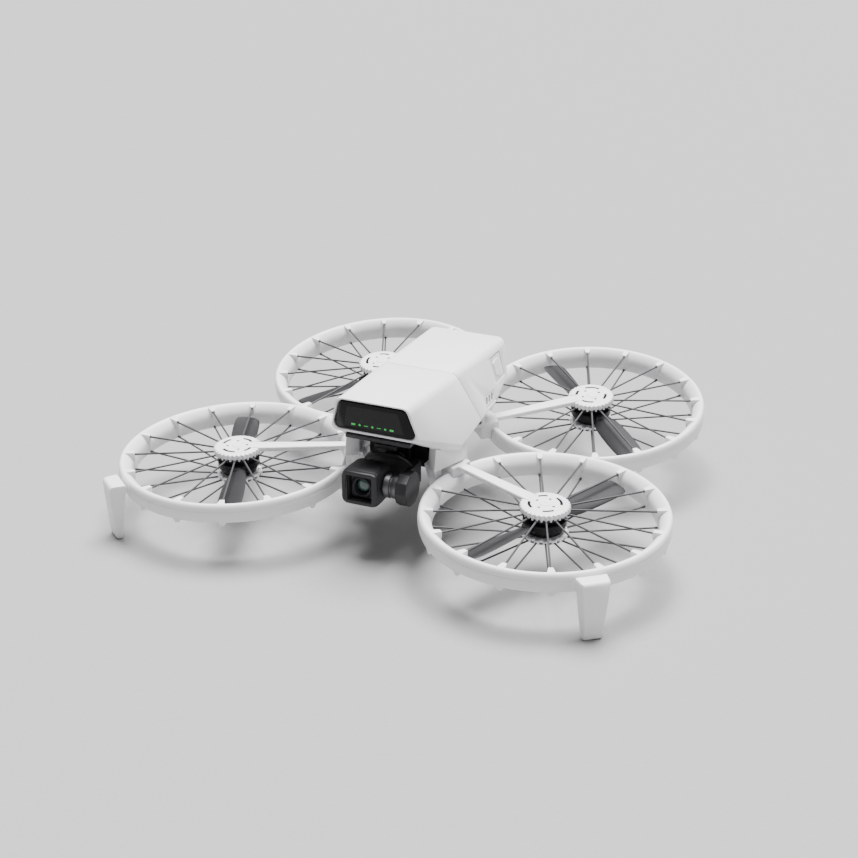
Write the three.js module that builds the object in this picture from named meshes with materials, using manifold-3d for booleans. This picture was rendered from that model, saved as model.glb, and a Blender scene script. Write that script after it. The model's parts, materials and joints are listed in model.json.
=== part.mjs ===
// Compact folding camera drone with four ring-guarded rotors and a three-axis gimbal camera.
// Millimetres, +Z up, nose towards -Y. The drone stands on its two front legs and the tail foot.
import * as THREE from 'three';
import { mergeVertices } from 'three/addons/utils/BufferGeometryUtils.js';
import Module from 'manifold-3d';

const wasm = await Module();
wasm.setup();

// ---- driving dimensions ----
const GAP = 0.3; // clearance between pieces that touch
const WALL = 1.8; // fuselage wall
const RING_RADIUS = 58;
const RING_HEIGHT = 10.4;
const THROAT_RADIUS = 51.6;
const RING_SEGMENTS = 36;
const ROUND = 16; // facets round a small turned piece
const STATIONS = 16; // spoke places round a ring
const WIRE = 0.9; // spoke thickness
const HUB_RADIUS = 11;
const BLADE_RADIUS = 49.6;
const LEG_BEARING = THREE.MathUtils.degToRad(40); // from straight ahead, outwards
const LUG = { radius: 2.8, length: 4.5, barrelLength: 14, bore: 1.2, pin: 0.9 };
const DECK_Z = 47.6; // flat deck the battery slides on
const SEAM = { top: [-24.3, 80], low: [-12.6, DECK_Z] }; // battery seam in the Y-Z plane
const TILT_AXIS = { y: -73, z: 36 }; // camera tilt axis, along X
const HEAD = { x: -2.8, width: 18.6, height: 17, frontY: -81.2 };

const ARMS = {
  front: {
    centre: [79.9, -60.2, 32.4], lean: [0.019, -0.048],
    hinge: [22.61, -37.41, 29.45], fold: [0.2567, 0.9175, 0.3038],
  },
  rear: {
    centre: [59.7, 59.8, 37.3], lean: [0.025, -0.137],
    hinge: [14.36, 16, 34.27], fold: [-0.4659, 0.8112, -0.3534],
  },
};

// Fuselage outline from nose to tail: half widths and heights of roof, crease and belly.
const HULL = [
  { y: -74.5, lean: 0.17, top: 18.2, roof: 76.2, crease: 22.2, creaseZ: 60.8, base: 20.6, belly: 58.6 },
  { y: -60, lean: 0.1, top: 18.4, roof: 75.9, crease: 25.6, creaseZ: 54.6, base: 23, belly: 51 },
  { y: -39, lean: 0, top: 18.9, roof: 75.3, crease: 30, creaseZ: 46.2, base: 28, belly: 42.4 },
  { y: -14, lean: 0, top: 19.4, roof: 74.7, crease: 29.2, creaseZ: 49.2, base: 24, belly: 42 },
  { y: 10, lean: -0.1, top: 19.9, roof: 74, crease: 28, creaseZ: 50.5, base: 22, belly: 42 },
  { y: 36.5, lean: -0.36, top: 20.4, roof: 73.3, crease: 25, creaseZ: 56, base: 19, belly: 44 },
];

const paint = (color, roughness, metalness = 0) => ({ color, roughness, metalness });
const WHITE = paint(0xe9e9ec, 0.45);
const DARK = paint(0x4a494c, 0.5);
const BLACK = paint(0x1b1b1e, 0.35);
const STEEL = paint(0x8a8c90, 0.3, 0.9);
const GLASS = paint(0x101614, 0.08);

// ---- solid helpers ----
function solid(geometry) {
  const bare = geometry.clone();
  for (const name of Object.keys(bare.attributes)) {
    if (name !== 'position') bare.deleteAttribute(name);
  }
  const merged = mergeVertices(bare, 1e-4);
  return new wasm.Manifold(new wasm.Mesh({
    numProp: 3,
    vertProperties: new Float32Array(merged.attributes.position.array),
    triVerts: new Uint32Array(merged.index.array),
  }));
}

function surface(body) {
  const { vertProperties, triVerts } = body.getMesh();
  const geometry = new THREE.BufferGeometry();
  geometry.setAttribute('position', new THREE.BufferAttribute(vertProperties, 3));
  geometry.setIndex(new THREE.BufferAttribute(triVerts, 1));
  return geometry;
}

const join = (...bodies) => bodies.reduce((sum, body) => sum.add(body));
const cut = (body, ...tools) => tools.reduce((rest, tool) => rest.subtract(tool), body);

function block([x0, y0, z0], [x1, y1, z1]) {
  const geometry = new THREE.BoxGeometry(x1 - x0, y1 - y0, z1 - z0);
  return geometry.translate((x0 + x1) / 2, (y0 + y1) / 2, (z0 + z1) / 2);
}

// A turned body about +Z from [radius, z] points.
function turned(points, segments) {
  return new THREE.LatheGeometry(points.map(([r, z]) => new THREE.Vector2(r, z)), segments)
    .rotateX(Math.PI / 2);
}

function tube(outer, inner, low, high, segments) {
  return turned([[inner, low], [outer, low], [outer, high], [inner, high], [inner, low]], segments);
}

const disc = (radius, low, high, segments) => turned([[0, low], [radius, low], [radius, high], [0, high]], segments);

// Signed volume of a triangle list: negative when its faces point inwards.
function signedVolume(points, index) {
  const corner = (i) => new THREE.Vector3(...points[index[i]]);
  let sum = 0;
  for (let i = 0; i < index.length; i += 3) sum += corner(i).dot(corner(i + 1).cross(corner(i + 2)));
  return sum / 6;
}

// A closed body through rings of points that share one order and count.
function loft(rings) {
  const count = rings[0].length;
  const index = [];
  for (let k = 0; k + 1 < rings.length; k += 1) {
    for (let i = 0; i < count; i += 1) {
      const [a, b] = [k * count + i, k * count + ((i + 1) % count)];
      index.push(a, b, a + count, b, b + count, a + count);
    }
  }
  const last = (rings.length - 1) * count;
  for (let i = 1; i + 1 < count; i += 1) {
    index.push(0, i + 1, i, last, last + i, last + i + 1);
  }
  if (signedVolume(rings.flat(), index) < 0) index.reverse();
  const geometry = new THREE.BufferGeometry();
  geometry.setAttribute('position', new THREE.Float32BufferAttribute(rings.flat(2), 3));
  geometry.setIndex(index);
  return geometry;
}

// A slab across X from an outline in the Y-Z plane.
function slabAcross(outline, half) {
  const shape = new THREE.Shape(outline.map(([y, z]) => new THREE.Vector2(y, z)));
  const geometry = new THREE.ExtrudeGeometry(shape, { depth: 2 * half, bevelEnabled: false });
  return geometry.translate(0, 0, -half).rotateY(Math.PI / 2).rotateX(Math.PI / 2);
}

function roundedRing(width, height, corner, steps, place) {
  const points = [];
  for (const [sx, sz, start] of [[1, -1, -90], [1, 1, 0], [-1, 1, 90], [-1, -1, 180]]) {
    for (let i = 0; i <= steps; i += 1) {
      const angle = THREE.MathUtils.degToRad(start + (90 * i) / steps);
      const u = sx * (width / 2 - corner) + corner * Math.cos(angle);
      const v = sz * (height / 2 - corner) + corner * Math.sin(angle);
      points.push(place(u, v));
    }
  }
  return points;
}

function part(name, geometry, look) {
  const mesh = new THREE.Mesh(geometry, new THREE.MeshStandardMaterial(look));
  mesh.name = name;
  return mesh;
}

// ---- fuselage ----
// One cross-section, inset from the skin, with its roof edges rounded.
function hullSection(station, inset) {
  const side = Math.atan2(station.creaseZ - station.roof, station.crease - station.top);
  const top = station.top - inset * 0.7;
  const roof = station.roof - inset;
  const round = 3.4;
  const half = [[station.base - inset, station.belly + inset], [station.crease - inset * 1.1, station.creaseZ]];
  const sideEnd = [top + round * Math.cos(side), roof + round * Math.sin(side)];
  for (let i = 0; i <= 3; i += 1) {
    const t = i / 3;
    const blend = (a, b, c) => (1 - t) ** 2 * a + 2 * t * (1 - t) * b + t ** 2 * c;
    half.push([blend(sideEnd[0], top, top - round), blend(sideEnd[1], roof, roof)]);
  }
  const mirrored = half.map(([x, z]) => [-x, z]).reverse();
  return [...half, ...mirrored].map(([x, z]) => [x, station.y + station.lean * (station.roof - z), z]);
}

// Where the sloping tail face lies at a height.
const tailY = (z) => {
  const tail = HULL[HULL.length - 1];
  return tail.y + tail.lean * (tail.roof - z);
};

const hullBody = (inset) => solid(loft(HULL.map((station) => hullSection(station, inset))));
const across = (outline) => solid(slabAcross(outline, 60));

// The window's outline in the sloping nose face, grown by a margin.
function windowBody(margin, depth) {
  const [top, wide, low, height] = [16.6 + margin, 20.4 + margin, 18 + margin, 15.4 + 2 * margin];
  const shape = new THREE.Shape();
  shape.moveTo(-low + 1, 0);
  shape.lineTo(low - 1, 0);
  shape.quadraticCurveTo(wide, 0, wide, 3.6);
  shape.lineTo(top + 0.8, height - 2.4);
  shape.quadraticCurveTo(top, height, top - 2.4, height);
  shape.lineTo(-top + 2.4, height);
  shape.quadraticCurveTo(-top, height, -top - 0.8, height - 2.4);
  shape.lineTo(-wide, 3.6);
  shape.quadraticCurveTo(-wide, 0, -low + 1, 0);
  const geometry = new THREE.ExtrudeGeometry(shape, { depth, bevelEnabled: false, curveSegments: 5 });
  geometry.rotateX(Math.PI / 2 + Math.atan(HULL[0].lean));
  const sill = 60.1 - margin;
  return geometry.translate(0, HULL[0].y + HULL[0].lean * (HULL[0].roof - sill) + 1.4, sill);
}

// Frame of a hinge: origin on the pin, z along the pin, y as near to up as it goes.
function hingeMatrix({ hinge, fold }, side) {
  const along = new THREE.Vector3(side * fold[0], fold[1], fold[2]).normalize();
  const across = new THREE.Vector3(0, 0, 1).cross(along).normalize();
  const up = along.clone().cross(across);
  return new THREE.Matrix4().makeBasis(across, up, along).setPosition(side * hinge[0], hinge[1], hinge[2]);
}

function hingeLugs(arm, side, topZ) {
  const offset = LUG.barrelLength / 2 + GAP + LUG.length / 2;
  return [-offset, offset].map((middle) => {
    const [low, high] = [middle - LUG.length / 2, middle + LUG.length / 2];
    const rise = (topZ - arm.hinge[2] - middle * arm.fold[2]) / Math.hypot(arm.fold[0], arm.fold[1]);
    const web = solid(block([-LUG.radius, 0, low], [LUG.radius, rise, high]));
    const eye = solid(disc(LUG.radius, low, high, 12));
    const bore = solid(disc(LUG.bore, low - 1, high + 1, 8));
    return solid(surface(cut(join(web, eye), bore)).applyMatrix4(hingeMatrix(arm, side)));
  });
}

function shoulder(side) {
  const level = (z, outline) => outline.map(([x, y]) => [side * x, y, z]);
  const low = level(38.1, [[18, -52], [23.2, -56.5], [29.8, -38], [29.6, -32], [19.5, -30]]);
  const high = level(50, [[18, -50], [23.4, -54.5], [28.2, -38], [28.2, -29], [19.5, -27]]);
  return solid(loft([low, high]));
}

function fuselageParts() {
  const hull = hullBody(0);
  const hollow = hullBody(WALL);
  const front = across([[-95, 30], [SEAM.low[0] - GAP, 30], [SEAM.low[0] - GAP, DECK_Z],
    [SEAM.top[0] - GAP, 80], [-95, 80]]);
  const cavity = hollow.intersect(across([[-69, 30], [0, 30], [0, 80], [-69, 80]]));
  const recess = solid(block([-17, -69.4, 30], [17, -42, 56.6]));
  const sensorPort = solid(block([-9, -34, 40], [9, -24, 46]));
  let shell = cut(hull.intersect(front), cavity, recess, sensorPort);
  shell = cut(shell, solid(windowBody(GAP, 6)));
  const lugs = [1, -1].flatMap((side) => hingeLugs(ARMS.front, side, 40));
  shell = join(shell, shoulder(1), shoulder(-1), ...lugs);

  const tail = across([[SEAM.low[0], 30], [60, 30], [60, DECK_Z - GAP], [SEAM.low[0], DECK_Z - GAP]]);
  const tray = hollow.intersect(across([[-9, 30], [22, 30], [22, 60], [-9, 60]]));
  const rearLugs = [1, -1].flatMap((side) => hingeLugs(ARMS.rear, side, 43.6));
  const chassis = join(cut(hull.intersect(tail), tray), ...rearLugs);

  const ceiling = solid(block([-16.6, -69, 54.2], [16.6, -42.3, 56.2]));
  const bulkhead = solid(block([-16.6, -43.9, 44.6], [16.6, -42.3, 56.2]));
  const damperPads = [-13, 13].map((x) => solid(disc(2.2, 52.8, 55, 12).translate(x, -64, 0)));
  const boardChips = [[-10, -36, 4], [4, -30, 3], [-6, -24, 2.4]].map(
    ([x, y, tall]) => solid(block([x, y - 5, 59], [x + 9, y + 4, 60 + tall])));
  const board = join(solid(block([-17, -62, 58], [17, -20, 59.6])), ...boardChips);
  const foot = loft([
    [[-1.3, 9, 41.7], [1.3, 9, 41.7], [1.3, 28, 41.7], [-1.3, 28, 41.7]],
    [[-1.3, 12, 3], [1.3, 12, 3], [1.3, 26, 3], [-1.3, 26, 3]],
    [[-1.3, 12.4, 0], [1.3, 12.4, 0], [1.3, 25.6, 0], [-1.3, 25.6, 0]],
  ]);
  return [
    part('fuselage_shell', surface(shell), WHITE),
    part('rear_chassis', surface(chassis), WHITE),
    part('display_window', windowBody(0, 1.6), BLACK),
    part('gimbal_mount', surface(join(ceiling, bulkhead, ...damperPads)), BLACK),
    part('main_board', surface(board), paint(0x2f6b46, 0.6)),
    part('belly_sensor_window', block([-8.7, -33.7, 42.5], [8.7, -24.3, 44.2]), GLASS),
    part('tail_foot', foot, WHITE),
  ];
}

// ---- battery module ----
// A piece of the side wall inside a Y-Z box, from `deep` under the skin to `sunk` under it.
function wallPiece(side, [y0, z0], [y1, z1], sunk, deep) {
  const box = solid(block([side > 0 ? 5 : -60, y0, z0], [side > 0 ? 60 : -5, y1, z1]));
  return cut(hullBody(sunk).intersect(box), hullBody(deep));
}

function batteryParts() {
  const region = across([[SEAM.low[0], DECK_Z], [60, DECK_Z], [60, 80], SEAM.top]);
  const floor = DECK_Z + 1.6;
  const inside = across([[-40, floor], [tailY(floor) - WALL, floor], [tailY(80) - WALL, 80], [-40, 80]]);
  let shell = cut(hullBody(0).intersect(region), hullBody(WALL).intersect(inside));
  const [button, vent] = [[[15, 57.5], [27, 69]], [[-3, 51.4], [8, 56]]];
  const pieces = [];
  for (const [side, label] of [[1, 'right'], [-1, 'left']]) {
    for (const [[y0, z0], [y1, z1]] of [button, vent]) {
      const box = [[side > 0 ? 5 : -60, y0 - GAP, z0 - GAP], [side > 0 ? 60 : -5, y1 + GAP, z1 + GAP]];
      shell = cut(shell, solid(block(...box)));
    }
    pieces.push(part(`release_button_${label}`, surface(wallPiece(side, ...button, 0.2, 2.4)), WHITE));
    pieces.push(part(`side_vent_${label}`, surface(wallPiece(side, ...vent, 0.7, 2.2)), BLACK));
  }
  return [
    part('battery_case', surface(shell), WHITE),
    part('battery_cells', block([-14, -9, 50.2], [14, 25, 68]), paint(0x3a4f8a, 0.5)),
    ...pieces,
  ];
}

// ---- gimbal and camera ----
const headRing = (y, width, height, drop, corner) => roundedRing(
  width, height, corner, 2, (u, v) => [HEAD.x + u, y, TILT_AXIS.z + v - drop]);

// Turns a body made about +Z so that it lies along X through the tilt axis.
const alongTilt = (geometry) => geometry.rotateY(Math.PI / 2).translate(0, TILT_AXIS.y, TILT_AXIS.z);
const alongView = (geometry, x) => geometry.rotateX(Math.PI / 2).translate(x, 0, TILT_AXIS.z);

function gimbalParts() {
  const yawArm = join(
    solid(block([-5.5, -61, 47.4], [5.5, -45.6, 49.9])),
    solid(block([-6.5, -48, 29.5], [6.5, -45.6, 49.9])));
  const rollMotor = alongView(disc(6.5, 48.3, 51.5, ROUND), 0);
  const rollArm = join(
    solid(alongView(disc(7.2, 51.8, 54.4, ROUND), 0)),
    solid(block([0, -54.4, 30], [14.6, -51.8, 41.5])),
    solid(block([11.8, -66.5, 31], [14.6, -51.8, 41])),
    solid(alongTilt(disc(8.4, 14.1, 19.8, 10))));
  const tiltMotor = alongTilt(turned(
    [[0, 6.9], [5.9, 6.9], [5.9, 9.8], [5.3, 10], [5.3, 10.6], [5.9, 10.8], [5.9, 13.8], [0, 13.8]], ROUND));
  const { width, height, frontY } = HEAD;
  const shell = solid(loft([
    headRing(frontY, width, height, 0, 2.6),
    headRing(-76, width, height + 0.6, 0, 3),
    headRing(-68, width - 0.4, height + 0.4, 0, 3.4),
    headRing(-65, width - 3, height - 3, 0, 3.6),
    headRing(-63.6, width - 8, height - 8, 0, 2.6),
  ]));
  const pocket = solid(block([HEAD.x - 6.2, frontY - 1, TILT_AXIS.z - 6.2],
    [HEAD.x + 6.2, -75.4, TILT_AXIS.z + 6.2]));
  const knob = solid(alongTilt(disc(4, HEAD.x - width / 2 - 2.6, HEAD.x - width / 2 + 1, 16)));
  const frameOuter = [headRing(-83.2, width - 1, height - 1, 0, 2.4),
    headRing(frontY - GAP, width, height, 0, 2.6)];
  const opening = solid(block([HEAD.x - 6.1, -84, TILT_AXIS.z - 6.1], [HEAD.x + 6.1, -80, TILT_AXIS.z + 6.1]));
  const barrel = alongView(turned([[3.7, 75.8], [5.6, 75.8], [5.6, 79.8], [4.4, 80.6], [3.7, 80.6], [3.7, 75.8]],
    ROUND), HEAD.x);
  const glass = alongView(turned([[0, 75.9], [3.3, 75.9], [3.3, 78.2], [1.8, 78.9], [0, 79.1]], ROUND), HEAD.x);
  return [
    part('yaw_motor', disc(6.2, 50.2, 53.8, ROUND).translate(0, -55, 0), STEEL),
    part('yaw_arm', surface(yawArm), BLACK),
    part('roll_motor', rollMotor, STEEL),
    part('roll_arm', surface(rollArm), BLACK),
    part('tilt_motor', tiltMotor, STEEL),
    part('camera_head', surface(cut(join(shell, knob), pocket)), BLACK),
    part('camera_front_frame', surface(cut(solid(loft(frameOuter)), opening)), BLACK),
    part('lens_barrel', barrel, BLACK),
    part('lens_glass', glass, GLASS),
  ];
}

// ---- rotor arms ----
function ringProfile() {
  const [inner, skin] = [THROAT_RADIUS, 1.2];
  const bottom = -RING_HEIGHT;
  return [
    [inner, bottom], [inner + skin, bottom], [inner + 3.8, -2.6], [56.3, -9.2], [57.2, -9],
    [RING_RADIUS, -5], [57.7, -1.6], [56.2, 0], [inner + 1.8, -2], [inner, -4.8], [inner, bottom],
  ];
}

// Spoke web: a collar with one straight wire to each station that is kept.
function spokeWeb(collar, hubEnd, rimEnd, bearing, skipArm) {
  const length = Math.hypot(rimEnd[0] - hubEnd[0], rimEnd[1] - hubEnd[1]);
  const slope = Math.atan2(rimEnd[1] - hubEnd[1], rimEnd[0] - hubEnd[0]);
  const halfFacet = Math.PI / STATIONS;
  let web = solid(tube(...collar, STATIONS).rotateZ(bearing + halfFacet));
  for (let k = skipArm ? 1 : 0; k < STATIONS; k += 1) {
    const wire = new THREE.BoxGeometry(length, WIRE, WIRE).translate(length / 2, 0, 0);
    wire.rotateY(-slope).translate(hubEnd[0], 0, hubEnd[1]);
    wire.rotateZ(bearing + (2 * Math.PI * k) / STATIONS);
    web = web.add(solid(wire));
  }
  return surface(web);
}

function bladeSection(radius, chord, pitch, thick) {
  const outline = [[-0.5, 0], [-0.3, 0.5], [0.1, 0.55], [0.5, 0.1], [0.45, -0.1], [0, -0.3]];
  return outline.map(([u, v]) => {
    const [y, z] = [u * chord, v * thick];
    return [radius, y * Math.cos(pitch) - z * Math.sin(pitch), -5.8 + y * Math.sin(pitch) + z * Math.cos(pitch)];
  });
}

function propeller() {
  const blade = [[9, 8, 0.42, 1.8], [16, 10.5, 0.36, 1.7], [30, 12.6, 0.27, 1.4], [44, 12.8, 0.19, 1.1],
    [48.6, 11, 0.17, 0.9], [BLADE_RADIUS, 8.4, 0.17, 0.8]].map((section) => bladeSection(...section));
  const single = loft(blade);
  const other = single.clone().rotateZ(Math.PI);
  const bellRoom = solid(disc(8.8, -20, 20, ROUND));
  return surface(cut(join(solid(tube(10.2, 8.8, -7.6, -4, ROUND)), solid(single), solid(other)), bellRoom));
}

function armBeam(hinge, bearing, hingeFrame) {
  const reach = Math.hypot(hinge.x, hinge.y);
  const [low, high] = [Math.min(hinge.z - 2.8, -6), 2.9];
  const outline = new THREE.Shape([[8, -3.4], [56, -2.3], [56, 2.3], [8, 3.4]].map((p) => new THREE.Vector2(...p)));
  const beam = new THREE.ExtrudeGeometry(outline, { depth: high - 0.4, bevelEnabled: false }).translate(0, 0, 0.4);
  const root = block([THROAT_RADIUS + 1.5, -6, low], [reach, 6, high]);
  const room = block([THROAT_RADIUS + 1.2, -6.3, low - GAP], [reach + 5, 6.3, high + GAP]);
  const half = LUG.barrelLength / 2;
  const barrel = solid(disc(LUG.radius, -half, half, 12).applyMatrix4(hingeFrame));
  const bore = solid(disc(LUG.bore, -half - 4, half + 4, 8).applyMatrix4(hingeFrame));
  const lugRoom = [-1, 1].map((end) => solid(
    block([-4.6, -4.6, end > 0 ? half : -half - 12], [4.6, 12, end > 0 ? half + 12 : -half])
      .applyMatrix4(hingeFrame)));
  const body = join(solid(disc(HUB_RADIUS, 0.4, 2.3, 24)), solid(beam.rotateZ(bearing)),
    solid(root.rotateZ(bearing)));
  return {
    beam: surface(cut(join(cut(body, ...lugRoom), barrel), bore)),
    ringCut: [solid(room.rotateZ(bearing)), ...lugRoom],
  };
}

function leg(side, { centre }) {
  const [cx, cy] = [side * centre[0], centre[1]];
  const out = [side * Math.sin(LEG_BEARING), -Math.cos(LEG_BEARING)];
  const level = (z, inner, outer, half) => {
    const corners = [[inner, -half], [outer, -half + 0.8], [outer, half - 0.8], [inner, half]];
    return corners.map(([r, t]) => [cx + out[0] * r - out[1] * t, cy + out[1] * r + out[0] * t, z]);
  };
  return surface(solid(loft([level(0, 61.2, 64.4, 4.9), level(1.5, 61, 64.8, 5.1),
    level(21.5, 59.2, 66.2, 7), level(27, 58.6, 66.4, 7.4), level(28.6, 58.6, 65.6, 7.2)])));
}

function rotorArm(place, label, side) {
  const arm = ARMS[place];
  const name = `${place}_${label}`;
  const normal = new THREE.Vector3(side * arm.lean[0], arm.lean[1], 1).normalize();
  const xAxis = new THREE.Vector3(1, 0, 0).addScaledVector(normal, -normal.x).normalize();
  const frame = new THREE.Matrix4().makeBasis(xAxis, normal.clone().cross(xAxis), normal)
    .setPosition(side * arm.centre[0], arm.centre[1], arm.centre[2]);
  const toLocal = frame.clone().invert();
  const hingeFrame = toLocal.clone().multiply(hingeMatrix(arm, side));
  const hinge = new THREE.Vector3().setFromMatrixPosition(hingeFrame);
  const bearing = Math.atan2(hinge.y, hinge.x);
  const { beam, ringCut } = armBeam(hinge, bearing, hingeFrame);
  const ring = cut(solid(turned(ringProfile(), RING_SEGMENTS)), ...ringCut);
  const bladeBearing = { front_right: -1.99, front_left: -1.15, rear_right: -0.8, rear_left: -2.18 }[name];

  const group = new THREE.Group();
  frame.decompose(group.position, group.quaternion, group.scale);
  group.add(
    part(`guard_ring_${name}`, surface(ring), WHITE),
    part(`arm_beam_${name}`, beam, WHITE),
    part(`top_spokes_${name}`, spokeWeb([10.4, 5.4, -1.3, 0.1], [9.6, -0.6], [52.9, -1.6], bearing, true), DARK),
    part(`bottom_spokes_${name}`,
      spokeWeb([10.6, 9.6, -13, -11.6], [10.2, -12.3], [51.2, -9.7], bearing, false), DARK),
    part(`bottom_hub_${name}`, disc(9.3, -13.2, -11.2, ROUND), WHITE),
    part(`motor_stator_${name}`, turned(
      [[1.3, -9], [6.8, -9], [6.8, -1.7], [5, -1.7], [5, 0.1], [1.3, 0.1], [1.3, -9]], ROUND), STEEL),
    part(`rotor_bell_${name}`, turned(
      [[0, -10.6], [8.5, -10.6], [8.5, -2], [7.2, -2], [7.2, -9.4], [0.9, -9.4], [0.9, -0.3], [0, -0.3]],
      ROUND), BLACK),
    part(`propeller_${name}`, propeller().rotateZ(bladeBearing), DARK),
  );
  return group;
}

function hingePin(place, label, side) {
  const half = LUG.barrelLength / 2 + GAP + LUG.length;
  const pin = disc(LUG.pin, -half, half, 8).applyMatrix4(hingeMatrix(ARMS[place], side));
  return part(`hinge_pin_${place}_${label}`, pin, STEEL);
}

const drone = new THREE.Group();
drone.add(...fuselageParts(), ...batteryParts(), ...gimbalParts());
for (const [side, label] of [[1, 'right'], [-1, 'left']]) {
  for (const place of ['front', 'rear']) {
    drone.add(rotorArm(place, label, side), hingePin(place, label, side));
  }
  drone.add(part(`front_leg_${label}`, leg(side, ARMS.front), WHITE));
}

export default drone;
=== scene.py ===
"""Looks of a small folding camera drone with ring guards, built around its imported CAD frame."""

import json
import math

import bmesh
import bpy
from mathutils import Matrix, Vector

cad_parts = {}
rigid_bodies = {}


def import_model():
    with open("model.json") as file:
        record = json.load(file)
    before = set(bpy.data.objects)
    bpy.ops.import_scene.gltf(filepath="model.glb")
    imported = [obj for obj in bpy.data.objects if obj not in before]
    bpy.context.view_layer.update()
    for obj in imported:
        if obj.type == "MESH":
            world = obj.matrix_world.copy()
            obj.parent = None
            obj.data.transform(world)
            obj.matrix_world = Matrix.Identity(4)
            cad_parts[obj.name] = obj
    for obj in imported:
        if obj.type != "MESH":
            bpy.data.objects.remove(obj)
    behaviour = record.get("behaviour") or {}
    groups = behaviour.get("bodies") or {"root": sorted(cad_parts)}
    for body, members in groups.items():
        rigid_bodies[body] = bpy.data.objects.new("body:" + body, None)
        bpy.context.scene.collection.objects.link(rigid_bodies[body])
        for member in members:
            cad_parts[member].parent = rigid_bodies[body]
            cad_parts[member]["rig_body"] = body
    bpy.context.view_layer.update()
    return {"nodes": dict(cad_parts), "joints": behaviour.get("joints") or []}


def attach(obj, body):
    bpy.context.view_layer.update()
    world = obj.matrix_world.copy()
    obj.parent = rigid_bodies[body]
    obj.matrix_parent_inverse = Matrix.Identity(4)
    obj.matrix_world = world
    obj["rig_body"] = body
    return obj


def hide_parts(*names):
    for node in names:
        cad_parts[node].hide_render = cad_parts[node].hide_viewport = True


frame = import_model()
JOINTS = {joint["name"]: joint for joint in frame["joints"]}

MM = 0.001  # lengths below are in mm, and Blender's are in metres
STATIONS = 16  # spoke places round a ring, from the arm, which takes the upper web's first place
WIRE_RADIUS = 0.46
ARM_NAMES = ["front_right", "rear_right", "front_left", "rear_left"]
# Where each propeller stands in the photo, in radians round its own axis.
BLADE_BEARING = {"front_right": -1.99, "front_left": -1.15, "rear_right": -0.8, "rear_left": -2.18}


# ---- materials ----
MOTTLES_PER_METRE = 55
NOISE_RANGE = (0.3, 0.7)  # most of a noise texture's values lie in here
GLOSS_SPREAD = 0.15  # how far the roughness strays, as a share of itself
COAT_ROUGHNESS = 0.06
BUMP_STRENGTH = 0.5


def moulded(name, color, roughness, mottling=0.03, grain=0.5, relief=0.006, metallic=0.0, coat=0.0,
            stretch=(1, 1, 1), shine=0.5):
    """Material with faint colour mottling, uneven gloss and a fine grain; grain and relief are in mm."""
    material = bpy.data.materials.new(name)
    material.use_nodes = True
    tree = material.node_tree
    shader = tree.nodes["Principled BSDF"]
    shader.inputs["Metallic"].default_value = metallic
    shader.inputs["Coat Weight"].default_value = coat
    shader.inputs["Coat Roughness"].default_value = COAT_ROUGHNESS
    shader.inputs["Specular IOR Level"].default_value = shine
    where = tree.nodes.new("ShaderNodeTexCoord")
    stretched = tree.nodes.new("ShaderNodeMapping")
    stretched.inputs["Scale"].default_value = stretch
    tree.links.new(where.outputs["Object"], stretched.inputs["Vector"])
    broad = tree.nodes.new("ShaderNodeTexNoise")
    broad.inputs["Scale"].default_value = MOTTLES_PER_METRE
    broad.inputs["Detail"].default_value = 3
    fine = tree.nodes.new("ShaderNodeTexNoise")
    fine.inputs["Scale"].default_value = 1 / (grain * MM)
    fine.inputs["Detail"].default_value = 4
    for noise in (broad, fine):
        tree.links.new(stretched.outputs["Vector"], noise.inputs["Vector"])
    ramp = tree.nodes.new("ShaderNodeValToRGB")
    dark, light = ramp.color_ramp.elements
    dark.position, light.position = NOISE_RANGE
    dark.color = [c * (1 - mottling) for c in color] + [1]
    light.color = [min(c * (1 + mottling), 1) for c in color] + [1]
    tree.links.new(broad.outputs["Fac"], ramp.inputs["Fac"])
    tree.links.new(ramp.outputs["Color"], shader.inputs["Base Color"])
    gloss = tree.nodes.new("ShaderNodeMapRange")
    gloss.inputs["From Min"].default_value = NOISE_RANGE[0]
    gloss.inputs["From Max"].default_value = NOISE_RANGE[1]
    gloss.inputs["To Min"].default_value = roughness * (1 - GLOSS_SPREAD)
    gloss.inputs["To Max"].default_value = min(roughness * (1 + GLOSS_SPREAD), 1)
    tree.links.new(fine.outputs["Fac"], gloss.inputs["Value"])
    tree.links.new(gloss.outputs["Result"], shader.inputs["Roughness"])
    bump = tree.nodes.new("ShaderNodeBump")
    bump.inputs["Strength"].default_value = BUMP_STRENGTH
    bump.inputs["Distance"].default_value = relief * MM
    tree.links.new(fine.outputs["Fac"], bump.inputs["Height"])
    tree.links.new(bump.outputs["Normal"], shader.inputs["Normal"])
    return material


def lit(name, color, strength):
    """Moulded material that also glows with its own colour."""
    material = moulded(name, color, 0.4)
    shader = material.node_tree.nodes["Principled BSDF"]
    shader.inputs["Emission Color"].default_value = (*color, 1)
    shader.inputs["Emission Strength"].default_value = strength
    return material


WHITE = moulded("white_shell", (0.84, 0.835, 0.85), 0.36, mottling=0.012, relief=0.004, shine=0.4)
WIRE = moulded("dark_wire", (0.052, 0.05, 0.054), 0.42, mottling=0.12, grain=0.2, shine=0.3)
BLADE = moulded("propeller_plastic", (0.022, 0.021, 0.023), 0.42,
                mottling=0.15, grain=0.3, relief=0.01, shine=0.16)
SATIN = moulded("black_satin", (0.019, 0.019, 0.021), 0.42,
                mottling=0.15, grain=0.25, relief=0.006, shine=0.35)
GLOSS = moulded("black_gloss", (0.003, 0.003, 0.0035), 0.12, mottling=0.2, relief=0.001, shine=0.14)
METAL = moulded("motor_metal", (0.15, 0.15, 0.155), 0.44,
                mottling=0.15, grain=0.3, metallic=1.0, stretch=(14, 1, 1))
BEZEL = moulded("lens_bezel", (0.075, 0.075, 0.078), 0.38,
                mottling=0.12, grain=0.2, relief=0.004, shine=0.4)
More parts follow.
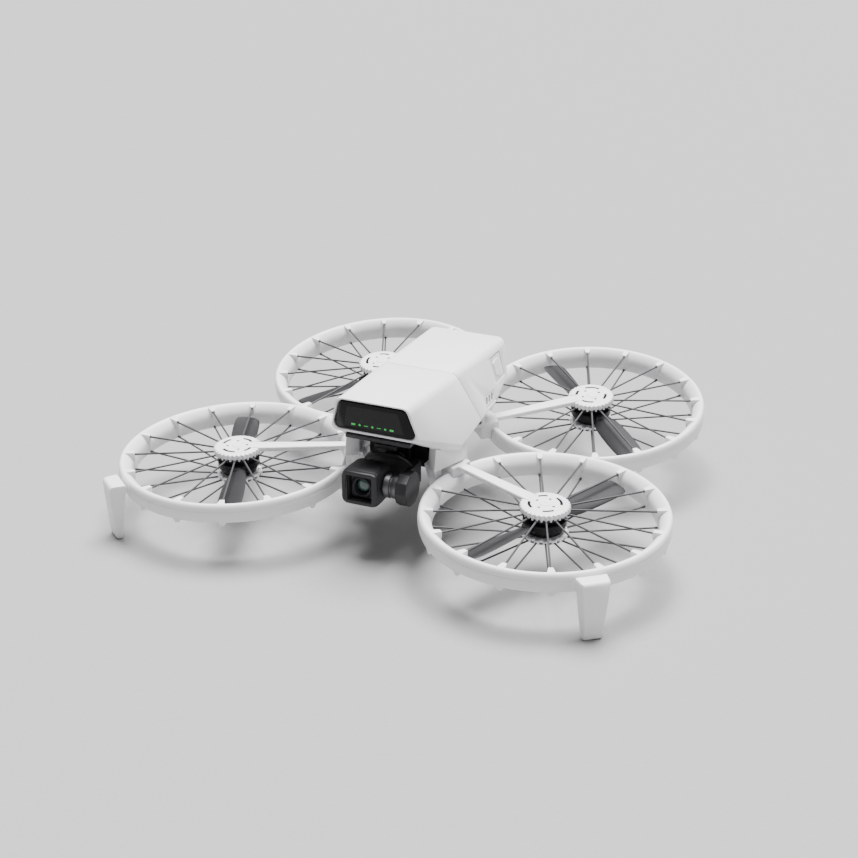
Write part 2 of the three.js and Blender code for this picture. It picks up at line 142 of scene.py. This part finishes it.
BELL = moulded("bell_black", (0.004, 0.004, 0.0045), 0.3,
               mottling=0.2, grain=0.3, relief=0.003, shine=0.2)
LENS = moulded("lens_glass", (0.024, 0.06, 0.05), 0.06, mottling=0.5, relief=0.0005, coat=0.5)
COPPER = moulded("copper_winding", (0.55, 0.24, 0.11), 0.35,
                 mottling=0.15, grain=0.15, relief=0.02, metallic=1.0)
BOARD = moulded("circuit_board", (0.02, 0.13, 0.055), 0.45, mottling=0.2)
WRAP = moulded("cell_wrap", (0.04, 0.08, 0.24), 0.4, mottling=0.1)
GREEN = lit("green_icon", (0.02, 0.42, 0.06), 0.5)
PANEL = moulded("display_panel", (0.006, 0.006, 0.0072), 0.2,
                mottling=0.15, relief=0.001, shine=0.2)


# ---- mesh helpers, in mm ----
ON_AXIS = 1e-6  # a profile point nearer the axis than this is on it
BEVEL_ANGLE = math.radians(30)  # edges sharper than this are rounded
FLAT_ANGLE = math.radians(1.0)  # CAD triangles within this are one flat face


def revolve(bm, profile, segments=72, closed=True, swell=None):
    """Turns a profile of (radius, height) about Z; a point on the axis is one vertex."""
    loops = []
    for radius, height in profile:
        if radius < ON_AXIS:
            loops.append([bm.verts.new((0, 0, height))])
            continue
        loop = []
        for i in range(segments):
            angle = 2 * math.pi * i / segments
            reach = radius + (swell(angle, radius, height) if swell else 0)
            loop.append(bm.verts.new((reach * math.cos(angle), reach * math.sin(angle), height)))
        loops.append(loop)
    pairs = list(zip(loops, loops[1:]))
    if closed:
        pairs.append((loops[-1], loops[0]))
    for low, high in pairs:
        for i in range(segments):
            j = (i + 1) % segments
            corners = [low[i % len(low)], low[j % len(low)], high[j % len(high)], high[i % len(high)]]
            distinct = list(dict.fromkeys(corners))
            if len(distinct) > 2:
                bm.faces.new(distinct)
    return bm


def loft(bm, rings):
    """Closed body through rings of equally many points."""
    loops = [[bm.verts.new(point) for point in ring] for ring in rings]
    count = len(loops[0])
    for low, high in zip(loops, loops[1:]):
        for i in range(count):
            j = (i + 1) % count
            bm.faces.new([low[i], low[j], high[j], high[i]])
    bm.faces.new(loops[0][::-1])
    bm.faces.new(loops[-1])
    return bm


def prism(bm, outline, low, high, place=None):
    """Straight body over an outline of (x, y), from one height to another, moved by a matrix."""
    place = place or Matrix.Identity(4)
    return loft(bm, [[place @ Vector((x, y, z)) for x, y in outline] for z in (low, high)])


def rod(bm, start, end, radius, sides=12):
    """Round bar between two points."""
    start, end = Vector(start), Vector(end)
    turn = (end - start).to_track_quat("Z", "Y").to_matrix().to_4x4()
    circle = [(radius * math.cos(2 * math.pi * i / sides), radius * math.sin(2 * math.pi * i / sides))
              for i in range(sides)]
    return prism(bm, circle, 0, (end - start).length, Matrix.Translation(start) @ turn)


def cut_away(bm, tool):
    """Takes the tool's body out of the other one and gives the rest."""
    objects = []
    for body in (bm, tool):
        bmesh.ops.recalc_face_normals(body, faces=body.faces)
        mesh = bpy.data.meshes.new("cutting")
        body.to_mesh(mesh)
        body.free()
        objects.append(bpy.data.objects.new("cutting", mesh))
        bpy.context.scene.collection.objects.link(objects[-1])
    target, cutter = objects
    modifier = target.modifiers.new("cut", "BOOLEAN")
    modifier.object = cutter
    modifier.solver = "EXACT"
    modifier.use_self = True
    result = target.evaluated_get(bpy.context.evaluated_depsgraph_get()).to_mesh()
    rest = bmesh.new()
    rest.from_mesh(result)
    for made in objects:
        bpy.data.objects.remove(made)
    return rest


def polar(radius, angle, height=0.0):
    """Point at a radius and an angle round Z."""
    return Vector((radius * math.cos(angle), radius * math.sin(angle), height))


def piece(name, bm, body, look, place=None, stands_for=(), edge=0.0, segments=3, sharp=38):
    """Makes a named piece out of a mesh in mm, in the row frame, and puts it on its CAD body."""
    bmesh.ops.recalc_face_normals(bm, faces=bm.faces)
    bm.transform(Matrix.Scale(MM, 4) @ (place or Matrix.Identity(4)))
    mesh = bpy.data.meshes.new(name)
    bm.to_mesh(mesh)
    bm.free()
    mesh.shade_smooth()
    obj = bpy.data.objects.new(name, mesh)
    bpy.context.scene.collection.objects.link(obj)
    if edge:
        bevel = obj.modifiers.new("edge", "BEVEL")
        bevel.width = edge * MM
        bevel.segments = segments
        bevel.limit_method = "ANGLE"
        bevel.angle_limit = BEVEL_ANGLE
        bevel.use_clamp_overlap = False
        bevel.harden_normals = True
        bevel.miter_outer = "MITER_ARC"
    else:
        mesh.set_sharp_from_angle(angle=math.radians(sharp))
    mesh.materials.append(look)
    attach(obj, body)
    if stands_for:
        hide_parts(*stands_for)
    return obj


def from_cad(node, weld=0.03):
    """A CAD node's mesh in mm, welded, with its flat faces whole."""
    bm = bmesh.new()
    bm.from_mesh(frame["nodes"][node].data)
    bm.transform(Matrix.Scale(1 / MM, 4))
    bmesh.ops.remove_doubles(bm, verts=bm.verts, dist=weld)
    bmesh.ops.dissolve_degenerate(bm, dist=weld, edges=bm.edges)
    bmesh.ops.dissolve_limit(bm, angle_limit=FLAT_ANGLE, verts=bm.verts, edges=bm.edges)
    return bm


def soften(node, body, look, edge, segments=3):
    """Stands for a CAD node with the same form, with small rounded edges."""
    return piece(f"{node}_skin", from_cad(node), body, look, None, [node], edge, segments)


def outer_face(node, towards):
    """Centre and normal, in mm, of the CAD node's faces that look towards a direction."""
    mesh = frame["nodes"][node].data
    facing = 0.8  # cosine of the widest angle that still counts
    centre, normal, total = Vector(), Vector(), 0.0
    for polygon in mesh.polygons:
        if polygon.normal.dot(towards) > facing:
            centre += polygon.center * polygon.area
            normal += polygon.normal * polygon.area
            total += polygon.area
    return centre / total / MM, normal.normalized()


def on_face(centre, normal, up=(0, 0, 1)):
    """Frame on a face: z is its normal and y is as near to up as it goes."""
    x = Vector(up).cross(normal).normalized()
    y = normal.cross(x)
    return Matrix.Translation(centre) @ Matrix((x, y, normal)).transposed().to_4x4()


# ---- rotor arms ----
def arm_frame(name):
    """Frame of an arm's rotor, in mm: origin on the spin joint, z along its axis."""
    joint = JOINTS[f"spin_{name}"]
    z = Vector(joint["axis"]).normalized()
    x = (Vector((1, 0, 0)) - z * z.x).normalized()
    rotation = Matrix((x, z.cross(x), z)).transposed().to_4x4()
    return Matrix.Translation(Vector(joint["pos_m"]) / MM) @ rotation


RING_PROFILE = [  # (radius, height) round the ring's section
    # foot of the inner wall
    (51.6, -9.95), (51.72, -10.32), (52.05, -10.45), (52.55, -10.38), (52.8, -10.0),
    # hollow underside
    (53.3, -6.8), (54.1, -3.9), (55.1, -2.7), (55.8, -3.6), (56.15, -6.4), (56.35, -9.0),
    # outer wall, with a fine groove near its top
    (56.6, -9.32), (57.0, -9.3), (57.28, -9.0), (57.7, -7.6), (57.93, -6.1), (58.0, -4.6),
    (57.98, -3.75), (57.8, -3.55), (57.92, -3.3), (57.7, -1.8),
    # rolled lip
    (57.3, -0.8), (56.75, -0.2), (56.1, 0.0), (55.4, -0.2), (54.6, -0.72),
    # throat
    (53.7, -1.5), (52.85, -2.5), (52.2, -3.55), (51.8, -4.6), (51.62, -5.7), (51.6, -7.0),
]
# Radius, height and half width: flat on the lip, proud of the throat at the wire, fading down the wall.
RIB = [
    (56.4, -0.05, 1.9), (54.6, 0.0, 1.6), (51.2, -0.35, 1.05), (50.85, -0.7, 0.85), (50.9, -2.6, 0.8),
    (51.25, -4.6, 0.75), (51.5, -9.6, 0.6), (52.3, -9.6, 0.6), (52.3, -5.2, 0.8), (53.4, -3.2, 1.3),
    (55.0, -1.6, 1.8),
]
TOOTH = [(-2.3, -8.8), (2.3, -8.8), (0.8, -10.85), (-0.8, -10.85)]
TOOTH_RADII = (56.1, 57.3)
# Wire's end at the hub, its end at the rim, and the collar's outer radius, inner radius and heights.
UPPER_WEB = (9.6, -0.6), (52.6, -1.5), (10.4, 5.4, -1.3, 0.1)
LOWER_WEB = (10.0, -12.3), (51.5, -9.7), (10.6, 9.6, -13, -11.6)


def channel_box(bm, low, high, place):
    """Box-shaped cutter between two corners."""
    outline = [(low[0], low[1]), (high[0], low[1]), (high[0], high[1]), (low[0], high[1])]
    return prism(bm, outline, low[2], high[2], place)


def guard_ring(name, bearing, hinge, to_local):
    """Guard ring with the channel that the arm's root and the fuselage lugs sit in."""
    fold = JOINTS[f"fold_{name}"]
    along = Vector(fold["axis"]).normalized()
    if name.endswith("left"):
        along = Vector((along.x, -along.y, -along.z))
    if along.y < 0:
        along = -along
    crosswise = Vector((0, 0, 1)).cross(along).normalized()
    hinge_rotation = Matrix((crosswise, along.cross(crosswise), along)).transposed().to_4x4()
    hinge_frame = to_local @ Matrix.Translation(Vector(fold["pos_m"]) / MM) @ hinge_rotation
    reach = math.hypot(hinge.x, hinge.y)
    floor = min(hinge.z - 2.8, -6) - 0.3
    root_half, lug_half = 6.3, 4.6
    tool = channel_box(bmesh.new(), (52.8, -root_half, floor), (reach + 5, root_half, 3.2),
                       Matrix.Rotation(bearing, 4, "Z"))
    for bottom, top in ((7, 19), (-19, -7)):  # a lug stands on each side of the arm's root
        channel_box(tool, (-lug_half, -lug_half, bottom), (lug_half, 12, top), hinge_frame)
    return cut_away(revolve(bmesh.new(), RING_PROFILE, 180), tool)


def ring_details(bearing):
    """Ribs that hold the wires, and the small teeth under the ring's edge."""
    bm = bmesh.new()
    for k in range(1, STATIONS):
        turn = Matrix.Rotation(bearing + 2 * math.pi * k / STATIONS, 4, "Z")
        loft(bm, [[turn @ Vector((r, sign * half, z)) for r, z, half in RIB] for sign in (-1, 1)])
        loft(bm, [[turn @ Vector((r, t, z)) for t, z in TOOTH] for r in TOOTH_RADII])
    return bm


def spokes(hub, rim, collar, bearing, first):
    """Round wires from hub to ring, starting at a given station, on a collar with eased edges."""
    bm = bmesh.new()
    outer, inner, low, high = collar
    ease = 0.18
    revolve(bm, [(inner, low), (outer - ease, low), (outer, low + ease), (outer, high - ease),
                 (outer - ease, high), (inner, high)])
    for k in range(first, STATIONS):
        angle = bearing + 2 * math.pi * k / STATIONS
        rod(bm, polar(hub[0], angle, hub[1]), polar(rim[0], angle, rim[1]), WIRE_RADIUS)
    return bm


def ferrules(bearing):
    """Small sleeves that hold the wires' ends on the ring's ribs."""
    bm = bmesh.new()
    for k in range(1, STATIONS):
        angle = bearing + 2 * math.pi * k / STATIONS
        rod(bm, polar(50.1, angle, -9.75), polar(51.9, angle, -9.7), 0.62)
        rod(bm, polar(50.2, angle, -1.4), polar(51.2, angle, -1.45), 0.55)
    return bm


def hub_cap(bearing):
    """Top disc: notched edge, arc slots, screw holes and a low centre cap."""
    notches = 32

    def notched(angle, radius, _height):
        return 0.3 * math.cos(notches * angle) if radius > 11.05 else 0

    shell = revolve(bmesh.new(), [
        (0, 3.0), (2.1, 3.0), (2.4, 2.9), (2.5, 2.68), (2.75, 2.6), (3.1, 2.72), (6.0, 2.78), (9.8, 2.74),
        (10.6, 2.6), (11.2, 2.25), (11.4, 1.7), (11.4, 0.2), (11.2, 0.0), (11.04, 0.1), (11.03, 2.2),
        (10.8, 2.36), (0, 2.36),
    ], 256, closed=False, swell=notched)
    tool = bmesh.new()
    bottom, top = 2.2, 3.4
    slot_radius, slot_half, slot_steps = 7.4, 0.7, 10
    hole_radius, hole_sides = 0.7, 14
    for middle, half in ((0.9, 0.42), (2.5, 0.36), (4.2, 0.5), (5.6, 0.3)):
        arc = [middle - half + 2 * half * i / slot_steps for i in range(slot_steps + 1)]
        outline = [polar(slot_radius + slot_half, a) for a in arc]
        outline += [polar(slot_radius - slot_half, a) for a in reversed(arc)]
        prism(tool, [(p.x, p.y) for p in outline], bottom, top)
        hole = polar(4.7, middle + 0.75)
        circle = [(hole.x + hole_radius * math.cos(a), hole.y + hole_radius * math.sin(a))
                  for a in (2 * math.pi * i / hole_sides for i in range(hole_sides))]
        prism(tool, circle, bottom, top)
    rest = cut_away(shell, tool)
    for k in range(notches):
        angle = 2 * math.pi * k / notches
        rod(rest, polar(11.0, angle, -0.75), polar(11.15, angle, 1.2), 0.5, 8)
    rest.transform(Matrix.Rotation(bearing, 4, "Z"))
    return rest


def bottom_hub():
    """Lower disc with a scalloped edge, and the studs between the lower wires."""
    def scalloped(angle, radius, height):
        return 0.4 * math.cos(STATIONS * angle) if radius > 9.5 and height > -12.8 else 0

    bm = revolve(bmesh.new(), [
        (0, -13.2), (9.9, -13.2), (10.5, -13.05), (10.75, -12.7), (10.75, -11.7), (10.5, -11.2),
        (9.6, -11.1), (9.2, -11.35), (0, -11.35),
    ], 192, closed=False, swell=scalloped)
    for k in range(STATIONS):
        angle = 2 * math.pi * (k + 0.5) / STATIONS
        rod(bm, polar(9.9, angle, -12.0), polar(9.9, angle, -10.75), 0.75)
    return bm


BELL_PROFILE = [
    # bottom and wall, with a groove near each end
    (0, -10.6), (7.9, -10.6), (8.35, -10.45), (8.5, -10.1), (8.5, -9.6), (8.36, -9.45), (8.36, -9.2),
    (8.5, -9.05), (8.5, -3.4), (8.38, -3.25), (8.38, -3.0), (8.5, -2.85), (8.5, -2.3), (8.3, -2.05),
    # open top, inside and shaft
    (7.9, -2.0), (7.2, -2.1), (7.2, -9.4), (0.9, -9.4), (0.9, -0.3), (0, -0.3),
]


def stator():
    """Fixed motor core that carries the windings."""
    return revolve(bmesh.new(), [
        (1.3, -9), (4.4, -9), (4.4, -8.2), (6.8, -8.2), (6.8, -2.4), (4.4, -2.4), (4.4, -1.7),
        (5, -1.7), (5, 0.1), (1.3, 0.1),
    ])


def windings():
    """Upright copper coils round the stator."""
    bm = bmesh.new()
    coils = 12
    for k in range(coils):
        angle = 2 * math.pi * k / coils
        rod(bm, polar(5.7, angle, -8.9), polar(5.7, angle, -1.9), 1.1, 10)
    return bm


def blade_outline(count=28):
    """Aerofoil outline, chord and thickness both 1: round nose, fine tail."""
    outline = []
    for i in range(count):
        t = 2 * math.pi * i / count
        u = -0.5 * math.cos(t)
        thickness = 0.5 * math.sin(t) * (1 - 0.42 * (u + 0.5))
        camber = 0.34 * (1 - (2 * u) ** 2)
        outline.append((u, thickness + camber))
    return outline


BLADE_SECTIONS = [  # radius, chord, pitch, thickness, sweep of the chord's middle
    (9.3, 5.4, 0.5, 2.3, 0.0), (11.5, 6.6, 0.46, 2.0, 0.0), (14.5, 9.3, 0.4, 1.7, 0.1),
    (19, 11.3, 0.34, 1.5, 0.2), (25, 12.3, 0.3, 1.4, 0.2), (32, 12.8, 0.26, 1.25, 0.1),
    (39, 12.9, 0.22, 1.15, 0.0), (44.5, 12.5, 0.19, 1.05, -0.1), (47.2, 11.7, 0.18, 0.95, -0.1),
    (48.7, 10.4, 0.17, 0.85, 0.0), (49.35, 8.4, 0.17, 0.7, 0.1), (49.6, 5.6, 0.17, 0.45, 0.2),
]
BLADE_HEIGHT = -5.8


def propeller(bearing):
    """Two blades and the knuckles that they fold on."""
    bm = bmesh.new()
    outline = blade_outline()
    for half_turn in (0, math.pi):
        turn = Matrix.Rotation(bearing + half_turn, 4, "Z")
        rings = []
        for radius, chord, pitch, thick, sweep in BLADE_SECTIONS:
            ring = []
            for u, v in outline:
                y, z = u * chord + sweep, v * thick
                across = y * math.cos(pitch) - z * math.sin(pitch)
                rise = BLADE_HEIGHT + y * math.sin(pitch) + z * math.cos(pitch)
                ring.append(turn @ Vector((radius, across, rise)))
            rings.append(ring)
        loft(bm, rings)
        knuckle = revolve(bmesh.new(), [
            (0, -8.0), (1.9, -8.0), (2.2, -7.7), (2.2, -4.0), (1.9, -3.7), (1.2, -3.7),
            (1.1, -3.95), (0, -3.95),
        ], 32, closed=False)
        knuckle.transform(turn @ Matrix.Translation((11.9, 0, 0)))
        made = bpy.data.meshes.new("knuckle")
        knuckle.to_mesh(made)
        knuckle.free()
        bm.from_mesh(made)
        bpy.data.meshes.remove(made)
    return bm


def build_arm(name):
    """Everything on one arm and its rotor, in the frame of the spin joint."""
    place = arm_frame(name)
    to_local = place.inverted()
    hinge = to_local @ (Vector(JOINTS[f"fold_{name}"]["pos_m"]) / MM)
    bearing = math.atan2(hinge.y, hinge.x)
    arm, rotor = f"arm_{name}", f"rotor_{name}"
    piece(f"ring_{name}", guard_ring(name, bearing, hinge, to_local), arm, WHITE, place,
          [f"guard_ring_{name}"])
    piece(f"ring_ribs_{name}", ring_details(bearing), arm, WHITE, place, sharp=25)
    soften(f"arm_beam_{name}", arm, WHITE, 0.7)
    piece(f"hub_cap_{name}", hub_cap(bearing), arm, WHITE, place)
    floor = revolve(bmesh.new(), [(0, 2.2), (9.6, 2.2), (9.6, 2.4), (0, 2.4)], 48, closed=False)
    piece(f"hub_slot_floor_{name}", floor, arm, BELL, place)
    piece(f"upper_wires_{name}", spokes(*UPPER_WEB, bearing, 1), arm, WIRE, place,
          [f"top_spokes_{name}"])
    piece(f"lower_wires_{name}", spokes(*LOWER_WEB, bearing, 0), arm, WIRE, place,
          [f"bottom_spokes_{name}"])
    piece(f"wire_ferrules_{name}", ferrules(bearing), arm, WIRE, place)
    piece(f"lower_hub_{name}", bottom_hub(), arm, WHITE,
          place @ Matrix.Rotation(bearing, 4, "Z"), [f"bottom_hub_{name}"])
    piece(f"stator_{name}", stator(), arm, METAL, place, [f"motor_stator_{name}"])
    piece(f"windings_{name}", windings(), arm, COPPER, place)
    bell = revolve(bmesh.new(), BELL_PROFILE, 96, closed=False)
    piece(f"bell_{name}", bell, rotor, BELL, place, [f"rotor_bell_{name}"])
    collar = revolve(bmesh.new(), [
        (8.7, -7.5), (9.9, -7.6), (10.2, -7.3), (10.2, -4.3), (9.9, -4.0), (8.7, -4.1),
    ], 96)
    piece(f"blade_collar_{name}", collar, rotor, BELL, place)
    piece(f"blades_{name}", propeller(BLADE_BEARING[name]), rotor, BLADE, place,
          [f"propeller_{name}"])


# ---- body ----
def build_body():
    """Shell, chassis, battery case, feet, gimbal mount, belly window, buttons and vents."""
    soften("fuselage_shell", "fuselage", WHITE, 0.35)
    soften("rear_chassis", "fuselage", WHITE, 0.35)
    soften("battery_case", "battery", WHITE, 0.35)
    soften("tail_foot", "fuselage", WHITE, 0.5)
    soften("gimbal_mount", "fuselage", SATIN, 0.3)
    soften("belly_sensor_window", "fuselage", LENS, 0.3)
    for side in ("right", "left"):
        soften(f"front_leg_{side}", f"arm_front_{side}", WHITE, 1.1, 5)
    for side, sign in (("right", 1), ("left", -1)):
        soften(f"release_button_{side}", f"button_{side}", WHITE, 0.5)
        pad_frame = on_face(*outer_face(f"release_button_{side}", Vector((sign, 0, 0))))
        hexagon = [(-3.9, -3.2), (0, -4.6), (3.9, -3.2), (3.9, 3.2), (0, 4.6), (-3.9, 3.2)]
        pad = prism(bmesh.new(), hexagon, -0.6, 0.45, pad_frame)
        piece(f"button_pad_{side}", pad, f"button_{side}", WHITE, edge=0.45)
        vent(side, sign)


def vent(side, sign):
    """White louvre plate over the dark vent, with three slanted slots."""
    node = f"side_vent_{side}"
    centre, normal = outer_face(node, Vector((sign, 0, 0)))
    plate = from_cad(node)
    lift, pitch, wide, tall = 0.6, 3.3, 0.95, 1.8  # wide and tall are half sizes
    bmesh.ops.translate(plate, verts=plate.verts, vec=normal * lift)
    tool = bmesh.new()
    slant = Matrix.Rotation(math.radians(-34 * sign), 4, "Z")
    for offset in (-pitch, 0, pitch):
        at = on_face(centre, normal) @ Matrix.Translation((offset, 0, 0)) @ slant
        prism(tool, [(-wide, -tall), (wide, -tall), (wide, tall), (-wide, tall)], -4, 4, at)
    piece(f"vent_louvres_{side}", cut_away(plate, tool), "battery", WHITE)


def window():
    """Gloss window in the nose with a flat panel and a row of lit marks."""
    soften("display_window", "fuselage", GLOSS, 0.7, 4)
    centre, normal = outer_face("display_window", Vector((0, -1, 0)))
    face = on_face(centre, normal)
    panel = [(-15.2, -5.3), (15.2, -5.3), (12.9, 5.6), (-12.9, 5.6)]
    piece("window_panel", prism(bmesh.new(), panel, -0.4, 0.04, face), "fuselage", PANEL)
    marks = bmesh.new()
    block = [(-1.0, -0.5), (1.0, -0.5), (1.0, 0.5), (-1.0, 0.5)]
    dash = [(-1.0, -0.18), (1.0, -0.18), (1.0, 0.18), (-1.0, 0.18)]
    diamond = [(-0.7, 0.0), (0.0, -0.7), (0.7, 0.0), (0.0, 0.7)]
    # The row is plain shapes only, none of them like a letter, a digit or a sign.
    first, pitch, line = -10.4, 3.25, -3.9
    for place, shape in enumerate([block, diamond, dash, diamond, dash, diamond, block]):
        outline = [(x + first + pitch * place, y + line) for x, y in shape]
        prism(marks, outline, 0.02, 0.09, face)
    piece("window_marks", marks, "fuselage", GREEN)


# ---- gimbal and camera ----
TILT_Y, TILT_Z = (value / MM for value in JOINTS["camera_tilt"]["pos_m"][1:])
VIEW_AXIS = Matrix.Translation((0, 0, TILT_Z)) @ Matrix.Rotation(math.pi / 2, 4, "X")


def gimbal_motors():
    """The tilt, pan and roll motors, each a metal can with grooves."""
    _, y, z = JOINTS["camera_tilt"]["pos_m"]
    along_x = Matrix.Translation(Vector((0, y, z)) / MM) @ Matrix.Rotation(math.pi / 2, 4, "Y")
    rings = revolve(bmesh.new(), [
        (0, 6.9), (5.6, 6.9), (5.9, 7.1), (5.9, 9.5), (5.7, 9.8), (5.2, 9.9), (5.2, 10.7), (5.7, 10.8),
        (5.9, 11.1), (5.9, 13.5), (5.6, 13.8), (0, 13.8),
    ], closed=False)
    piece("tilt_motor_rings", rings, "gimbal_roll", METAL, along_x, ["tilt_motor"])
    yaw = revolve(bmesh.new(), [
        (0, 50.2), (5.9, 50.2), (6.2, 50.5), (6.2, 51.8), (5.9, 52.0), (5.9, 52.3),
        (6.2, 52.5), (6.2, 53.5), (5.9, 53.8), (0, 53.8),
    ], closed=False)
    piece("yaw_motor_can", yaw, body_of("yaw_motor"), METAL,
          Matrix.Translation((0, -55, 0)), ["yaw_motor"])
    roll = revolve(bmesh.new(), [
        (0, 48.3), (6.2, 48.3), (6.5, 48.6), (6.5, 49.6), (6.3, 49.8), (6.3, 50.1),
        (6.5, 50.3), (6.5, 51.2), (6.2, 51.5), (0, 51.5),
    ], closed=False)
    piece("roll_motor_can", roll, body_of("roll_motor"), METAL, VIEW_AXIS, ["roll_motor"])


def gimbal_arms():
    """The gimbal's arms, the camera head, and the two dark covers behind it, which stand partly for the
    bracket and partly for painted shade in the recess under the nose.
    """
    soften("yaw_arm", "gimbal_yaw", SATIN, 0.5)
    soften("roll_arm", "gimbal_roll", SATIN, 0.5)
    soften("camera_head", "camera", SATIN, 0.45)
    soften("camera_front_frame", "camera", SATIN, 0.45)
    # Curved dark hood behind the head, round the tilt axis and clear of the head's sweep, narrower at its
    # top; it is partly the bracket and partly painted shade filling the gap under the nose.
    inner, outer = 13.8, 15.2
    taper = 6.4
    hood = []
    for degrees in range(-30, 47, 4):
        angle = math.radians(degrees)
        ease = max(0, (degrees - 10) / 36) ** 1.5
        left, right = -12.4 + taper * ease, 14.4 - taper * ease
        hood.append([Vector((x, TILT_Y + r * math.cos(angle), TILT_Z + r * math.sin(angle)))
                     for x, r in ((left, inner), (right, inner), (right, outer), (left, outer))])
    piece("gimbal_hood_and_painted_shade", loft(bmesh.new(), hood), "gimbal_roll", SATIN, edge=0.5)
    # Dark skirt below the nose: partly the bracket, partly painted shade standing for the shadowed recess
    # under the nose.
    half, front = 16.4, -43.8
    skirt = loft(bmesh.new(), [
        [Vector((x, y, z)) for x, y in ((-half, front), (half, front), (half, back), (-half, back))]
        for z, back in ((33.5, -42.2), (36.0, -41.6), (42.6, -36.0), (45.4, -36.0))
    ])
    piece("nose_skirt_and_painted_shade", skirt, "fuselage", SATIN, edge=0.5)


def lens():
    """Ringed barrel, square bezel and domed glass; heights run forward from y = 0."""
    head_x = -2.8
    lens_axis = Matrix.Translation((head_x, 0, 0)) @ VIEW_AXIS
    barrel = revolve(bmesh.new(), [
        (3.7, 75.8), (5.6, 75.8), (5.6, 79.4), (5.4, 79.7), (5.0, 79.75), (5.0, 80.1), (4.7, 80.5),
        (4.3, 80.6), (4.0, 80.4), (4.0, 79.6), (3.85, 79.5), (3.85, 78.9), (3.7, 78.8),
    ])
    piece("lens_barrel_rings", barrel, "camera", SATIN, lens_axis, ["lens_barrel"])
    square = [(-6.0, -6.0), (6.0, -6.0), (6.0, 6.0), (-6.0, 6.0)]
    hole = revolve(bmesh.new(), [(0, 76.5), (5.7, 76.5), (5.9, 80), (0, 80)], 64, closed=False)
    bezel = cut_away(prism(bmesh.new(), square, 77.4, 78.6), hole)
    piece("lens_bezel", bezel, "camera", BEZEL, lens_axis)
    dome = revolve(bmesh.new(), [
        (0, 75.9), (3.3, 75.9), (3.3, 78.1), (3.0, 78.5), (2.4, 78.75), (1.6, 78.95), (0.8, 79.06),
        (0, 79.1),
    ], 64, closed=False)
    piece("lens_dome", dome, "camera", LENS, lens_axis, ["lens_glass"])


def body_of(node):
    """Name of the body that a CAD node rides on."""
    return frame["nodes"][node]["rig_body"]


def paint_cad(look, slot, *nodes):
    """Gives CAD nodes that are shown as they are their material."""
    for node in nodes:
        obj = frame["nodes"][node]
        obj.data.materials.clear()
        obj.data.materials.append(look)


for arm_name in ARM_NAMES:
    build_arm(arm_name)
build_body()
window()
gimbal_motors()
gimbal_arms()
lens()
paint_cad(SATIN, "black_satin", "side_vent_right", "side_vent_left")
paint_cad(BOARD, "circuit_board", "main_board")
paint_cad(WRAP, "cell_wrap", "battery_cells")
paint_cad(METAL, "motor_metal", *[f"hinge_pin_{name}" for name in ARM_NAMES])


# ---- floor, light and camera ----
def studio_floor():
    """Plain pale sheet under the object, with its top at z = 0; sizes in metres."""
    bm = bmesh.new()
    half, thickness = 3.0, 0.02
    rings = [[Vector((x, y, z)) for x, y in ((-half, -half), (half, -half), (half, half), (-half, half))]
             for z in (-thickness, 0.0)]
    loft(bm, rings)
    bmesh.ops.recalc_face_normals(bm, faces=bm.faces)
    mesh = bpy.data.meshes.new("floor")
    bm.to_mesh(mesh)
    bm.free()
    mesh.materials.append(moulded("floor_paper", (0.3, 0.3, 0.3), 0.8, mottling=0.006, grain=1.5))
    floor = bpy.data.objects.new("floor", mesh)
    bpy.context.scene.collection.objects.link(floor)


def studio_light():
    """Even surroundings, one broad light from above and a weak one from the side."""
    world = bpy.data.worlds.new("studio")
    world.use_nodes = True
    world.node_tree.nodes["Background"].inputs["Color"].default_value = (1.0, 1.0, 1.0, 1)
    world.node_tree.nodes["Background"].inputs["Strength"].default_value = 0.28
    bpy.context.scene.world = world

    for name, strength, spread, towards in (
        ("sky_panel", 13.0, 0.75, (0.04, -0.3, -1.0)),
        ("side_panel", 0.35, 0.7, (-1.0, 0.25, -0.45)),
    ):
        light = bpy.data.lights.new(name, "SUN")
        light.energy = strength
        light.angle = spread
        lamp = bpy.data.objects.new(name, light)
        lamp.rotation_euler = Vector(towards).to_track_quat("-Z", "Y").to_euler()
        bpy.context.scene.collection.objects.link(lamp)


def studio_camera():
    """Camera at the photo's angle: azimuth and elevation in radians, place in metres, lens in mm."""
    azimuth, elevation = 0.419, 0.413
    back = Vector((math.sin(azimuth) * math.cos(elevation), -math.cos(azimuth) * math.cos(elevation),
                   math.sin(elevation)))
    view = bpy.data.cameras.new("camera")
    view.sensor_width = 36
    view.lens = 73.70
    view.shift_x = -0.0038
    view.shift_y = 0.0068
    camera = bpy.data.objects.new("camera", view)
    camera.location = (0.32464, -0.73553, 0.38296)
    camera.rotation_euler = (-back).to_track_quat("-Z", "Y").to_euler()
    bpy.context.scene.collection.objects.link(camera)
    bpy.context.scene.camera = camera


studio_floor()
studio_light()
studio_camera()
